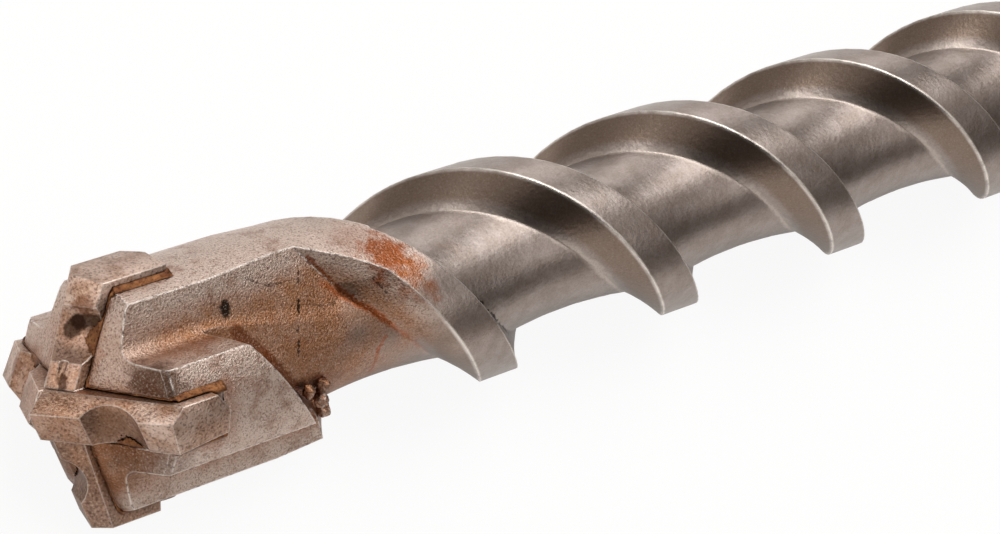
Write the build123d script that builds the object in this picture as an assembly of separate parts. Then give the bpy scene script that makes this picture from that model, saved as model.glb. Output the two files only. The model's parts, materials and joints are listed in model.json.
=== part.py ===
from build123d import *

import math
import os

# Hammer drill bit for masonry, 16 mm across its carbide head and 160 mm long.
# It is drawn along +X: the tip is at x = 0 and the end of the shank at x = 160.
# Angles go round the axis from +Z towards -Y, which is clockwise seen from the tip,
# and the right-hand flutes turn the same way as they run back.

# Overall sizes
HEAD_R = 8.0
PLATE_PROUD = 0.8
HEAD_STEEL_R = HEAD_R - PLATE_PROUD
BODY_R = 7.0
TOTAL_LENGTH = 160.0

# What is cut away reaches out to this distance from the axis, well outside the bit
OUTSIDE = HEAD_R + 5.0

# Helix: two lands, and each line on them moves LEAD along X in one turn
LEAD = 34.8
HALF_TURN = 180.0
DEG_PER_MM = 360.0 / LEAD
LAND_TIP_EDGE_X = 2.1
LAND_WIDTH = 3.45
LAND_SHANK_EDGE_X = LAND_TIP_EDGE_X + LAND_WIDTH
FLANK_LENGTH = 2.45
# Height of the flank halfway along, as a share of its depth: it is slightly hollow
FLANK_MIDDLE = 0.46

# Radii of the flute's floor at the foot of the slanted flank, at its lowest line and at
# the foot of the steep wall, with the angle of each from the first
FLOOR_FOOT_R = 4.66
FLOOR_LOW = (62.0, 4.29)
FLOOR_WALL = (111.5, 4.58)

# The head's steel: four straight wings with square valleys between them. Each wing
# is ROOT_HALF wide on each side at its root and narrows outwards by its draft.
ROOT_HALF = 3.5
MAIN_DRAFT = 0.177
SIDE_DRAFT = 0.065
VALLEY_FILLET = 1.1
FRONT_X = 2.1
FRONT_SLOPE = 0.44
FRONT_BREAK = 0.3
HEAD_TAPER_START = 17.0
HEAD_TAPER_END = 20.5
HELIX_START = 25.2
CHANNEL_START = 7.6
WIDE_VALLEY_END = 23.0

# Between these two stations the main wing's upright flank tilts back until it is
# tangent to the flute's floor, at this radius and this angle round the axis
BLEND_START = 11.4
BLEND_END = 20.4
BLEND_FLOOR_R = 4.34
BLEND_TANGENT_ANGLE = 70.9
BLEND_OVERLAP = 0.02
# Corner of the main wing's foot that the flute leaves standing, as (y, z), at the
# front and at the back of the blend
KEPT_FOOT_FRONT = (-4.25, 1.1)
KEPT_FOOT_BACK = (-4.3, 0.4)

# The flat facet where the land's slanted flank starts
FACET_POINT = (19.3, -2.58, 6.51)
FACET_ALONG = (0.0, -0.212, 0.821)
FACET_NORMAL = (0.531, 0.821, 0.212)
FACET_LOW_Z = 2.6

# Carbide plates. The main pair and the side pair differ in their point and notch.
PLATE_HALF = 1.55
LEAD_SLOPE = 0.95
RELIEF_SLOPE = 0.45
RIDGE_END_OFFSET = 0.6
PAD_RELIEF = 0.28
NOTCH_DEPTH = 0.85
MAIN_RIDGE = (0.9, 0.15, 3.95)
MAIN_NOTCH = (4.68, 3.4)
MAIN_END = 9.6
MAIN_TAPER = 0.0
SIDE_RIDGE = (0.0, 0.3, 4.35)
SIDE_NOTCH = (4.45, 3.6)
SIDE_END = 8.9
SIDE_TAPER = 6.0
PAD_BACK_CUT = 1.0
DIMPLE_R = 0.35
DIMPLE_DEPTH = 0.26
DIMPLE_Y = -0.5
DIMPLE_SPAN = (1.65, 3.2)

# Braze: the gap it fills, and the bead that stands in each corner with the steel
BRAZE_GAP = 0.15
BEAD = 0.32
BEAD_RISE = 0.24
BEAD_SINK = 0.12
BEAD_DEPTH = 0.9
BEAD_ROOT_Z = 1.3

# Back end, measured from the end of the shank: a longer bit has longer flutes
SHANK_LENGTH = 46.0
NECK_LENGTH = 5.0
COLLAR_LENGTH = 3.0
RUNOUT_LENGTH = 12.0
SHANK_START = TOTAL_LENGTH - SHANK_LENGTH
COLLAR_END = SHANK_START - NECK_LENGTH
RUNOUT_END = COLLAR_END - COLLAR_LENGTH
RUNOUT_START = RUNOUT_END - RUNOUT_LENGTH
RUNOUT_CORE_R = 4.0
SHANK_R = 5.0
SLOTTED_R = 4.8
SHANK_BREAK = 1.0
DRIVE_SLOT_LENGTH = 30.0
DRIVE_SLOT_WIDTH = 4.0
DRIVE_SLOT_FLOOR = 3.3
LOCK_R = 2.7
LOCK_END_R = 0.9
LOCK_FLOOR = 3.35
LOCK_FROM_END = 11.0
LOCK_LENGTH = 20.0

# How the bit comes to rest on a flat surface: two pads straddle the lowest line
REST_TURN = -45.0


def polar(radius, angle, x=0.0):
    """Point at a radius and an angle in degrees, measured from +Z towards -Y."""
    a = math.radians(angle)
    return Vector(x, -radius * math.sin(a), radius * math.cos(a))


def turned(shape, angle):
    """The shape turned about the bit's axis."""
    return shape.rotate(Axis.X, angle)


def helix_angle(x, edge_x):
    """Angle that a helical line has at x, when it crosses angle 0 at edge_x."""
    return (x - edge_x) * DEG_PER_MM


def flank_points(x, start, outer):
    """Points down a land's slanted flank to the floor, at the section through x."""
    angle = helix_angle(x, LAND_TIP_EDGE_X) + start
    span = FLANK_LENGTH * DEG_PER_MM
    depth = BODY_R - FLOOR_FOOT_R
    middle = polar(FLOOR_FOOT_R + FLANK_MIDDLE * depth, angle + span / 2, x)
    foot = polar(FLOOR_FOOT_R, angle + span, x)
    over = (outer - BODY_R) / depth
    top = polar(outer, angle - span * over, x)
    return top, middle, foot


def floor_points(x, start):
    """Lowest point of the flute's floor and the foot of its wall, behind a flank."""
    angle = helix_angle(x, LAND_TIP_EDGE_X) + start + FLANK_LENGTH * DEG_PER_MM
    return [polar(radius, angle + step, x) for step, radius in (FLOOR_LOW, FLOOR_WALL)]


def helix_section(x):
    """Cross-section of the fluted body at x, with both lands."""
    edges = []
    for k in range(2):
        start = HALF_TURN * k
        tip_edge = helix_angle(x, LAND_TIP_EDGE_X) + start
        shank_edge = helix_angle(x, LAND_SHANK_EDGE_X) + start
        top, middle, foot = flank_points(x, start, BODY_R)
        low, wall_foot = floor_points(x, start)
        land_start = polar(BODY_R, shank_edge, x)
        land_middle = polar(BODY_R, (shank_edge + tip_edge) / 2, x)
        next_land = polar(BODY_R, shank_edge + HALF_TURN, x)
        edges.append(Edge.make_three_point_arc(land_start, land_middle, top))
        edges.append(Edge.make_three_point_arc(top, middle, foot))
        edges.append(Edge.make_three_point_arc(foot, low, wall_foot))
        edges.append(Edge.make_line(wall_foot, next_land))
    return Face(Wire(edges))


def flute_section(x):
    """Cross-section of the space of one flute at x, open to well outside the bit."""
    outer = BODY_R + 2.0
    top = flank_points(x, HALF_TURN, outer)[0]
    flank_edge, middle, foot = flank_points(x, HALF_TURN, BODY_R)
    low, wall_foot = floor_points(x, HALF_TURN)
    tip_edge = helix_angle(x, LAND_TIP_EDGE_X) + HALF_TURN
    shank_edge = helix_angle(x, LAND_SHANK_EDGE_X) + 2 * HALF_TURN
    wall_top = polar(outer, shank_edge, x)
    far = polar(outer, (tip_edge + shank_edge) / 2, x)
    edges = [
        Edge.make_line(top, flank_edge),
        Edge.make_three_point_arc(flank_edge, middle, foot),
        Edge.make_three_point_arc(foot, low, wall_foot),
        Edge.make_line(wall_foot, wall_top),
        Edge.make_three_point_arc(wall_top, far, top),
    ]
    return Face(Wire(edges))


def twisted(section, x, length):
    """Section extruded along X while it turns with the helix."""
    return Solid.extrude_linear_with_rotation(
        section, (x, 0, 0), (length, 0, 0), length * DEG_PER_MM
    )


def revolved(points):
    """Solid of revolution about the X axis from a list of (x, radius) points."""
    corners = [(x, 0, r) for x, r in points]
    return revolve(Face(Wire.make_polygon(corners)), Axis.X, 360)


def box(x0, x1, y0, y1, z0, z1):
    """Box from its limits."""
    solid = Solid.make_box(x1 - x0, y1 - y0, z1 - z0)
    return solid.moved(Location((x0, y0, z0)))


def prism(corners, x0, x1):
    """Prism along X from (y, z) corners."""
    face = Face(Wire.make_polygon([(x0, y, z) for y, z in corners]))
    return Solid.extrude(face, Vector(x1 - x0, 0, 0))


def hull_solid(front, back):
    """Solid between two polygons with the same number of corners, with flat sides."""
    count = len(front)
    faces = [Face(Wire.make_polygon(front)), Face(Wire.make_polygon(back))]
    for i in range(count):
        j = (i + 1) % count
        faces.append(Face(Wire.make_polygon([front[i], front[j], back[j], back[i]])))
    return Solid(Shell(faces))


def valley(angle, x_end, first_draft, second_draft):
    """Space of one valley between the wing at the angle and the next one clockwise."""
    r = ROOT_HALF
    far = OUTSIDE
    reach = far - r
    corners = [(-r, r), (-r + first_draft * reach, far), (-far, far), (-far, r - second_draft * reach)]
    space = prism(corners, -1.0, x_end)
    corner = [e for e in space.edges().filter_by(Axis.X)
              if abs(e.center().Y + r) < 0.01 and abs(e.center().Z - r) < 0.01]
    return turned(fillet(corner, VALLEY_FILLET), angle)


def facet_keep():
    """Steel kept behind the flat facet where the land's slanted flank starts."""
    plane = Plane(FACET_POINT, x_dir=FACET_ALONG, z_dir=FACET_NORMAL)
    side = 2 * OUTSIDE
    behind = Solid.make_box(side, side, side).moved(Location((-OUTSIDE, -OUTSIDE, 0)))
    behind = behind.moved(plane.location)
    return behind & box(BLEND_START, HELIX_START + 1, -OUTSIDE, OUTSIDE, FACET_LOW_Z, OUTSIDE)


def tilted_line(z):
    """Y of the tilted wing flank, tangent to the flute's floor, at the height z."""
    a = math.radians(BLEND_TANGENT_ANGLE)
    foot_y = -BLEND_FLOOR_R * math.sin(a)
    foot_z = BLEND_FLOOR_R * math.cos(a)
    return foot_y + (z - foot_z) / math.tan(a)


def fillet_points():
    """Start, middle and end of the fillet in a valley's corner, at x = 0."""
    up = Vector(0, MAIN_DRAFT, 1).normalized()
    out = Vector(0, -1, -SIDE_DRAFT).normalized()
    corner = Vector(0, -ROOT_HALF, ROOT_HALF)
    half_angle = math.radians(up.get_angle(out)) / 2
    to_end = VALLEY_FILLET / math.tan(half_angle)
    to_middle = VALLEY_FILLET / math.sin(half_angle) - VALLEY_FILLET
    middle = corner + (up + out).normalized() * to_middle
    return [(p.Y, p.Z) for p in (corner + up * to_end, middle, corner + out * to_end)]


def flank_profiles():
    """Flank, bend and floor of a valley, at the front and at the back of the blend."""
    reach = OUTSIDE - ROOT_HALF
    front = [
        (-ROOT_HALF + MAIN_DRAFT * reach, OUTSIDE),
        *fillet_points(),
        (-OUTSIDE, ROOT_HALF - SIDE_DRAFT * reach),
    ]
    back = [
        (tilted_line(OUTSIDE), OUTSIDE),
        (tilted_line(2.9), 2.9),
        (tilted_line(1.9) - 0.06, 1.9),
        (tilted_line(1.0) - 0.12, 1.0),
        (-OUTSIDE, 2.0),
    ]
    return front, back


def flank_blend():
    """Space between the upright valley flank at its front and the tilted one behind."""
    wires = []
    for x, points in zip((BLEND_START, BLEND_END), flank_profiles()):
        p = [Vector(x, y, z) for y, z in points]
        corner = Vector(x, -OUTSIDE, OUTSIDE)
        wires.append(Wire([
            Edge.make_line(p[0], p[1]),
            Edge.make_three_point_arc(p[1], p[2], p[3]),
            Edge.make_line(p[3], p[4]),
            Edge.make_line(p[4], corner),
            Edge.make_line(corner, p[0]),
        ]))
    return Solid.make_loft(wires, ruled=True)


def wing_keep():
    """Steel of the main wing that the flute's start leaves standing."""
    r = ROOT_HALF
    far = OUTSIDE
    rest = [(-1, 1), (r, 0), (r, -r), (r - MAIN_DRAFT * (far - r), -far), (far + 1, -far), (far + 1, far)]
    front, back = flank_profiles()
    front = front[:3] + [KEPT_FOOT_FRONT] + rest
    back = back[:3] + [KEPT_FOOT_BACK] + rest
    kept = prism(front, CHANNEL_START - 1, BLEND_START)
    between = Solid.make_loft([
        Wire.make_polygon([(BLEND_START, y, z) for y, z in front]),
        Wire.make_polygon([(BLEND_END, y, z) for y, z in back]),
    ], ruled=True)
    return kept + between + prism(back, BLEND_END, HELIX_START + 1)


def flute_start():
    """Space of one flute where it opens out behind the valley."""
    length = HELIX_START - CHANNEL_START
    tool = twisted(flute_section(CHANNEL_START), CHANNEL_START, length)
    return tool - wing_keep()


def head_steel():
    """Steel of the head with its wings, valleys and the start of the flutes."""
    cone_rim_x = FRONT_X + FRONT_SLOPE * (HEAD_STEEL_R - FRONT_BREAK)
    blank = revolved([
        (FRONT_X, 0),
        (cone_rim_x, HEAD_STEEL_R - FRONT_BREAK),
        (cone_rim_x + FRONT_BREAK, HEAD_STEEL_R),
        (HEAD_TAPER_START, HEAD_STEEL_R),
        (HEAD_TAPER_END, BODY_R),
        (HELIX_START, BODY_R),
        (HELIX_START, 0),
    ])
    keep = facet_keep()
    start = flute_start() - keep
    blend = flank_blend() - keep
    for angle in (0, 180):
        blank = blank - valley(angle, BLEND_START + BLEND_OVERLAP, MAIN_DRAFT, SIDE_DRAFT)
        blank = blank - valley(angle + 90, WIDE_VALLEY_END, SIDE_DRAFT, MAIN_DRAFT)
        blank = blank - turned(start, angle)
        blank = blank - turned(blend, angle)
    return blank


def plate_wing(ridge, notch, end, taper_deg):
    """Upright wing of the carbide head, with its roof-shaped front and its notch."""
    h = PLATE_HALF
    start_x, start_y, end_x = ridge
    inner = [
        (start_x, start_y, 0),
        (start_x + LEAD_SLOPE * (h - start_y), h, 0),
        (end, h, 0),
        (end, -h, 0),
        (start_x + RELIEF_SLOPE * (h + start_y), -h, 0),
    ]
    reach = HEAD_R + 1.0
    rise = (end_x - start_x) / HEAD_R * reach
    peak_x = start_x + rise
    peak_y = start_y + (RIDGE_END_OFFSET - start_y) / HEAD_R * reach
    outer = [
        (peak_x, peak_y, reach),
        (peak_x + LEAD_SLOPE * (h - peak_y), h, reach),
        (end, h, reach),
        (end, -h, reach),
        (peak_x + RELIEF_SLOPE * (h + peak_y), -h, reach),
    ]
    wing = hull_solid(inner, outer)
    # The outer face is straight across up to the ridge and falls away behind it
    fall = PAD_RELIEF / (h + RIDGE_END_OFFSET) * (2 * h + 4)
    cap = hull_solid(
        [(-1, h + 4, HEAD_R), (-1, RIDGE_END_OFFSET, HEAD_R), (-1, -h - 4, HEAD_R - fall),
         (-1, -h - 4, OUTSIDE), (-1, h + 4, OUTSIDE)],
        [(end + 1, h + 4, HEAD_R), (end + 1, RIDGE_END_OFFSET, HEAD_R), (end + 1, -h - 4, HEAD_R - fall),
         (end + 1, -h - 4, OUTSIDE), (end + 1, h + 4, OUTSIDE)],
    )
    wing = wing - cap
    # The notch is a trough parallel to the relief face
    at, width = notch
    notch_r = ((width / 2) ** 2 + NOTCH_DEPTH ** 2) / (2 * NOTCH_DEPTH)
    run = Vector(-RELIEF_SLOPE, 1, 0).normalized()
    up = Vector(-1, -RELIEF_SLOPE, (end_x - start_x) / HEAD_R).normalized()
    at_ridge = Vector(
        start_x + (end_x - start_x) * at / HEAD_R,
        start_y + (RIDGE_END_OFFSET - start_y) * at / HEAD_R,
        at,
    )
    centre = at_ridge + up * (notch_r - NOTCH_DEPTH)
    wing = wing - Solid.make_cylinder(notch_r, 12, Plane(centre - run * 6, z_dir=run))
    # The proud part of the plate tapers on its trailing side and is cut at the back
    back = box(0, 4, -4, 4, 0, 4).rotate(Axis.Z, 40.0)
    wing = wing - back.moved(Location((end - PAD_BACK_CUT, h, HEAD_STEEL_R)))
    if taper_deg:
        taper = box(-8, 8, -3, 0, 0, 3).rotate(Axis.Z, taper_deg)
        wing = wing - taper.moved(Location((5.0, -h, HEAD_STEEL_R)))
    return wing


def dimple():
    """Groove in the front of a main wing, which starts at nothing and ends in the notch."""
    slope = (MAIN_RIDGE[2] - MAIN_RIDGE[0]) / HEAD_R
    outward = Vector(-1, -RELIEF_SLOPE, slope).normalized()
    lift = (DIMPLE_R, DIMPLE_R - DIMPLE_DEPTH)
    low, high = [
        Vector(MAIN_RIDGE[0] + slope * z + RELIEF_SLOPE * (MAIN_RIDGE[1] - DIMPLE_Y), DIMPLE_Y, z)
        + outward * away
        for z, away in zip(DIMPLE_SPAN, lift)
    ]
    return Solid.make_cylinder(DIMPLE_R, (high - low).length, Plane(low, z_dir=high - low))


def carbide_head():
    """The one-piece carbide cross that makes the four cutting edges."""
    main = plate_wing(MAIN_RIDGE, MAIN_NOTCH, MAIN_END, MAIN_TAPER)
    side = plate_wing(SIDE_RIDGE, SIDE_NOTCH, SIDE_END, SIDE_TAPER)
    cross = main + turned(side, 90) + turned(main, 180) + turned(side, 270)
    return cross - dimple() - turned(dimple(), 180)


def slot_space():
    """Space of the crossed slots that hold the carbide and its braze."""
    w = PLATE_HALF + BRAZE_GAP
    main = box(-1, MAIN_END + BRAZE_GAP, -w, w, -OUTSIDE, OUTSIDE)
    return main + box(-1, SIDE_END + BRAZE_GAP, -OUTSIDE, OUTSIDE, -w, w)


def braze_beads(angle, plate_end):
    """Beads of braze on both sides of one upright wing, at the front and outside."""
    h = PLATE_HALF
    inner = h - 2 * BRAZE_GAP
    outer = h + BRAZE_GAP + BEAD
    profile = [
        (-BEAD_RISE, inner),
        (-BEAD_RISE, h + BRAZE_GAP / 3),
        (BEAD_SINK, outer),
        (BEAD_DEPTH, outer),
        (BEAD_DEPTH, inner),
    ]
    top_z = HEAD_STEEL_R - BEAD_SINK
    root_x = FRONT_X + FRONT_SLOPE * math.hypot(h, BEAD_ROOT_Z)
    top_x = FRONT_X + FRONT_SLOPE * math.hypot(h, top_z)
    beads = []
    for side in (1, -1):
        root = [(root_x + x, side * y, BEAD_ROOT_Z) for x, y in profile]
        top = [(top_x + x, side * y, top_z) for x, y in profile]
        beads.append(hull_solid(root, top))
        strip = [
            (side * inner, HEAD_STEEL_R - BEAD),
            (side * inner, HEAD_STEEL_R + BEAD),
            (side * (h + BRAZE_GAP / 3), HEAD_STEEL_R + BEAD),
            (side * outer, HEAD_STEEL_R - BEAD_SINK * 2),
            (side * outer, HEAD_STEEL_R - BEAD),
        ]
        beads.append(prism(strip, top_x, plate_end + BEAD))
    return [turned(bead, angle) for bead in beads]


def braze(steel, carbide):
    """Solidified braze between the carbide and the steel, with its beads."""
    filler = slot_space() & revolved([
        (FRONT_X - 0.1, 0),
        (FRONT_X + FRONT_SLOPE * HEAD_STEEL_R - 0.1, HEAD_STEEL_R),
        (MAIN_END + 1, HEAD_STEEL_R),
        (MAIN_END + 1, 0),
    ])
    solid = filler
    for angle, plate_end in ((0, MAIN_END), (90, SIDE_END), (180, MAIN_END), (270, SIDE_END)):
        for bead in braze_beads(angle, plate_end):
            solid = solid + bead
    solid = solid - carbide
    return solid - steel


def shank():
    """Collar, neck and the 10 mm shank with its two open slots and two closed pockets."""
    end = TOTAL_LENGTH
    half = DRIVE_SLOT_WIDTH / 2
    guide_end = end - DRIVE_SLOT_LENGTH - half
    solid = revolved([
        (RUNOUT_END - 0.5, 0),
        (RUNOUT_END - 0.5, BODY_R),
        (COLLAR_END, BODY_R),
        (SHANK_START, SHANK_R),
        (guide_end, SHANK_R),
        (guide_end, SLOTTED_R),
        (end - SHANK_BREAK, SLOTTED_R),
        (end, SLOTTED_R - SHANK_BREAK),
        (end, 0),
    ])
    slot = box(end - DRIVE_SLOT_LENGTH, end + 1, -half, half, DRIVE_SLOT_FLOOR, OUTSIDE)
    slot_end = Solid.make_cylinder(half, OUTSIDE - DRIVE_SLOT_FLOOR)
    slot_end = slot_end.moved(Location((end - DRIVE_SLOT_LENGTH, 0, DRIVE_SLOT_FLOOR)))
    slot = slot + slot_end
    back = end - LOCK_FROM_END
    front = back - LOCK_LENGTH
    taper = LOCK_R - LOCK_END_R
    pocket = revolved([
        (front, 0),
        (front, LOCK_END_R),
        (front + taper, LOCK_R),
        (back - taper, LOCK_R),
        (back, LOCK_END_R),
        (back, 0),
    ])
    pocket = pocket.moved(Location((0, 0, LOCK_FLOOR + LOCK_R)))
    for angle in (0, 180):
        solid = solid - turned(slot, angle)
        solid = solid - turned(pocket, angle + 90)
    return solid


def fluted_body():
    """Fluted length with the flutes running out towards the collar."""
    body = twisted(helix_section(HELIX_START), HELIX_START, RUNOUT_END - HELIX_START)
    runout = revolved([
        (RUNOUT_START, 0),
        (RUNOUT_START, RUNOUT_CORE_R),
        (RUNOUT_END, BODY_R),
        (RUNOUT_END, 0),
    ])
    return body + runout


def rested(shape):
    """Shape turned and moved so that the bit lies on the floor, centred along X."""
    return turned(shape, REST_TURN).moved(Location((-TOTAL_LENGTH / 2, 0, BODY_R)))


os.makedirs("parts", exist_ok=True)

carbide = carbide_head()
steel = head_steel() - slot_space()
steel = steel + fluted_body() + shank()
filler = braze(steel, carbide)

export_step(rested(steel), "parts/steel_body.step")
export_step(rested(carbide), "parts/carbide_head.step")
export_step(rested(filler), "parts/braze_seam.step")
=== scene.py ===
"""Looks of a hammer drill bit for masonry, lying on a pale studio floor.

The CAD nodes are dressed with the finishes of the real bit: shot-blasted steel,
sintered carbide and oxidised braze. The carbide gets its worn edges, the braze its
soft skin, and a knot of spatter sticks behind one wing.
"""

from __future__ import annotations

import json
import logging
import math
from dataclasses import dataclass
from enum import Enum

import bmesh
import bpy
from mathutils import Matrix, Vector, noise

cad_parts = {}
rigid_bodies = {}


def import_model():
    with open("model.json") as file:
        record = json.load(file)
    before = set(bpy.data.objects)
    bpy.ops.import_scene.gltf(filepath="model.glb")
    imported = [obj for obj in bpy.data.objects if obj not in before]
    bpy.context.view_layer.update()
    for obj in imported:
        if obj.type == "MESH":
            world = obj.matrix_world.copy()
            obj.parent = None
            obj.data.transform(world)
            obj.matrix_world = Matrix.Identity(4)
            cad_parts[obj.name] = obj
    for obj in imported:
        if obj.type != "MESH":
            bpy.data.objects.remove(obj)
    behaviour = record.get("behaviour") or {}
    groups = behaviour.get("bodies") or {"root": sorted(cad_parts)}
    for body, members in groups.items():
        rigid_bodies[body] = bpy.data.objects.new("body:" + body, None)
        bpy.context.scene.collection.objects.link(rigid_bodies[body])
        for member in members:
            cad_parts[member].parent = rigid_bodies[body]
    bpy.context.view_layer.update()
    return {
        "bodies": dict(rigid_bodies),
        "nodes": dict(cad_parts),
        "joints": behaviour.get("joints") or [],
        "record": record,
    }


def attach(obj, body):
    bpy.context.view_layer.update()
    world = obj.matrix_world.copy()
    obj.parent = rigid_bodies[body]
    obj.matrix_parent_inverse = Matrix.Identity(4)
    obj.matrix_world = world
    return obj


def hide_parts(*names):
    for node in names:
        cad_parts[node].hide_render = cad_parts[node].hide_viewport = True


LOG = logging.getLogger("drill_bit")

MM = 0.001

# How the bit lies: its axis is this high over the floor, its tip is this far along,
# and it is turned this far about the axis from the position with one wing upright
AXIS_HEIGHT_MM = 7.0
TIP_X_MM = -80.0
REST_TURN_DEG = -45.0

# The helix: a line on it moves this far along in one turn, and these are the places
# along the bit where the lines of one land cross the upright direction
LEAD_MM = 34.8
LAND_TIP_EDGE_MM = 2.1
FLANK_FOOT_MM = 17.05
FLUTE_END_MM = 100.0

# A fade runs from the first of two numbers to the second
Span = tuple[float, float]
Value = float | tuple | bpy.types.NodeSocket

# Cosine between the real and the rounded normal, as an edge starts to show and is full
EDGE_SPAN: Span = (0.995, 0.92)
# Openness of a point to its surroundings, as a corner starts to show and is full
CORNER_SPAN: Span = (0.92, 0.45)
# Height of a noise, as its dark grains and its light grains start to show and are full
DARK_GRAIN_SPAN: Span = (0.5, 0.68)
LIGHT_GRAIN_SPAN: Span = (0.45, 0.3)
# Height of a noise that makes colours uneven: all of it, or only its lower part
UNEVEN_SPAN: Span = (0.3, 0.7)
LOWER_SPAN: Span = (0.3, 0.6)
# Detail and roughness of a noise that stands for grains
GRAIN_DETAIL = (2.0, 0.6)
# Height in the middle of a noise
NOISE_MIDDLE = 0.5


def linear(hex_colour: str) -> tuple[float, float, float, float]:
    """Turn an sRGB hex colour into linear values.

    Args:
        hex_colour: Colour written as #RRGGBB.

    Returns:
        Red, green, blue and an alpha of 1.
    """
    digits = hex_colour.lstrip("#")
    channels = []
    for start in (0, 2, 4):
        value = int(digits[start:start + 2], 16) / 255
        if value <= 0.04045:
            channels.append(value / 12.92)
        else:
            channels.append(((value + 0.055) / 1.055) ** 2.4)
    return channels[0], channels[1], channels[2], 1.0


def grains(size_mm: float) -> float:
    """Find the scale of a noise on metres from about how far apart its grains are."""
    return 1.0 / (size_mm * MM)


def on_bit(x_mm: float, radius_mm: float, angle_deg: float) -> Vector:
    """Find a point of the lying bit from its place along and around the axis.

    Args:
        x_mm: Distance from the carbide tip.
        radius_mm: Distance from the axis.
        angle_deg: Angle round the axis from the upright wing towards the camera's side.

    Returns:
        The point in the row frame, in metres.
    """
    angle = math.radians(angle_deg)
    turn = math.radians(REST_TURN_DEG)
    y = -radius_mm * math.sin(angle)
    z = radius_mm * math.cos(angle)
    return Vector((
        (x_mm + TIP_X_MM) * MM,
        (y * math.cos(turn) - z * math.sin(turn)) * MM,
        (y * math.sin(turn) + z * math.cos(turn) + AXIS_HEIGHT_MM) * MM,
    ))


@dataclass(frozen=True)
class Tint:
    """A colour that is laid over another one, and how much of it covers at the most."""

    colour: str
    strength: float


class Kind(Enum):
    """What a node does: its type, its settings, the sockets that are fed and its result's socket."""

    ADD = ("ShaderNodeMath", {"operation": "ADD"}, (0, 1), 0)
    SUBTRACT = ("ShaderNodeMath", {"operation": "SUBTRACT"}, (0, 1), 0)
    MULTIPLY = ("ShaderNodeMath", {"operation": "MULTIPLY"}, (0, 1), 0)
    SMALLER = ("ShaderNodeMath", {"operation": "MINIMUM"}, (0, 1), 0)
    LARGER = ("ShaderNodeMath", {"operation": "MAXIMUM"}, (0, 1), 0)
    ABSOLUTE = ("ShaderNodeMath", {"operation": "ABSOLUTE"}, (0,), 0)
    ROOT = ("ShaderNodeMath", {"operation": "SQRT"}, (0,), 0)
    ANGLE = ("ShaderNodeMath", {"operation": "ARCTAN2"}, (0, 1), 0)
    WRAP = ("ShaderNodeMath", {"operation": "WRAP"}, (0, 1, 2), 0)
    FADE = ("ShaderNodeMapRange", {"interpolation_type": "SMOOTHSTEP"}, (0, 1, 2, 3, 4), 0)
    MIX = ("ShaderNodeMix", {"data_type": "RGBA"}, (0, 6, 7), 2)
    NOISE = ("ShaderNodeTexNoise", {}, ("Vector", "Scale", "Detail", "Roughness"), "Fac")
    OFFSET = ("ShaderNodeVectorMath", {"operation": "SUBTRACT"}, (0, 1), 0)
    STRETCH = ("ShaderNodeVectorMath", {"operation": "SCALE"}, (0, "Scale"), 0)
    DISTANCE = ("ShaderNodeVectorMath", {"operation": "DISTANCE"}, (0, 1), "Value")
    DOT = ("ShaderNodeVectorMath", {"operation": "DOT_PRODUCT"}, (0, 1), "Value")
    SPLIT = ("ShaderNodeSeparateXYZ", {}, (0,), 0)
    OBJECT_POINT = ("ShaderNodeTexCoord", {}, (), "Object")
    WORLD_DIRECTION = ("ShaderNodeTexCoord", {}, (), "Generated")
    MAPPING = ("ShaderNodeMapping", {"vector_type": "TEXTURE"}, ("Vector", "Location", "Rotation"), 0)
    NORMAL = ("ShaderNodeNewGeometry", {}, (), "Normal")
    ROUNDED_NORMAL = ("ShaderNodeBevel", {"samples": 4}, ("Radius",), 0)
    OPENNESS = ("ShaderNodeAmbientOcclusion", {"samples": 5}, ("Distance",), "AO")
    BUMP = ("ShaderNodeBump", {}, ("Height", "Distance", "Strength", "Normal"), 0)
    METAL = ("ShaderNodeBsdfPrincipled", {}, ("Base Color", "Metallic", "Roughness", "Normal"), 0)
    PAPER = ("ShaderNodeBsdfDiffuse", {}, ("Color",), 0)
    GLOW = ("ShaderNodeEmission", {}, ("Color", "Strength"), 0)
    BLEND = ("ShaderNodeMixShader", {}, (0, 1, 2), 0)
    RAY = ("ShaderNodeLightPath", {}, (), 0)
    BACKGROUND = ("ShaderNodeBackground", {}, ("Color", "Strength"), 0)
    SURFACE_OUTPUT = ("ShaderNodeOutputMaterial", {}, (0,), None)
    WORLD_OUTPUT = ("ShaderNodeOutputWorld", {}, (0,), None)


class Graph:
    """The node tree of a material or a world."""

    def __init__(self, tree: bpy.types.NodeTree) -> None:
        """Empty the tree and keep it."""
        self.tree = tree
        tree.nodes.clear()

    def add(self, kind: Kind, *values: Value, **settings: object) -> bpy.types.NodeSocket | None:
        """Add a node with its settings and links.

        Args:
            kind: What the node does.
            values: Numbers, colours and results of other nodes, in the order of the kind's sockets.
            settings: Further properties of the node.

        Returns:
            The socket of the node's result, or None for an output node.
        """
        node_type, kind_settings, inputs, result = kind.value
        node = self.tree.nodes.new(node_type)
        for name, setting in (kind_settings | settings).items():
            setattr(node, name, setting)
        for key, value in zip(inputs, values):
            socket = node.inputs[key]
            if isinstance(value, bpy.types.NodeSocket):
                self.tree.links.new(value, socket)
            else:
                socket.default_value = value
        return None if result is None else node.outputs[result]

    def lay(self, tint: Tint, mask: Value, colour: Value) -> bpy.types.NodeSocket:
        """Lay a tint over a colour where a mask is."""
        share = self.add(Kind.MULTIPLY, mask, tint.strength)
        return self.add(Kind.MIX, share, colour, linear(tint.colour))


def new_material(name: str) -> tuple[bpy.types.Material, Graph]:
    """Make a material without nodes.

    Args:
        name: The real finish.

    Returns:
        The material and its empty graph.
    """
    material = bpy.data.materials.new(name)
    material.use_nodes = True
    return material, Graph(material.node_tree)


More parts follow.
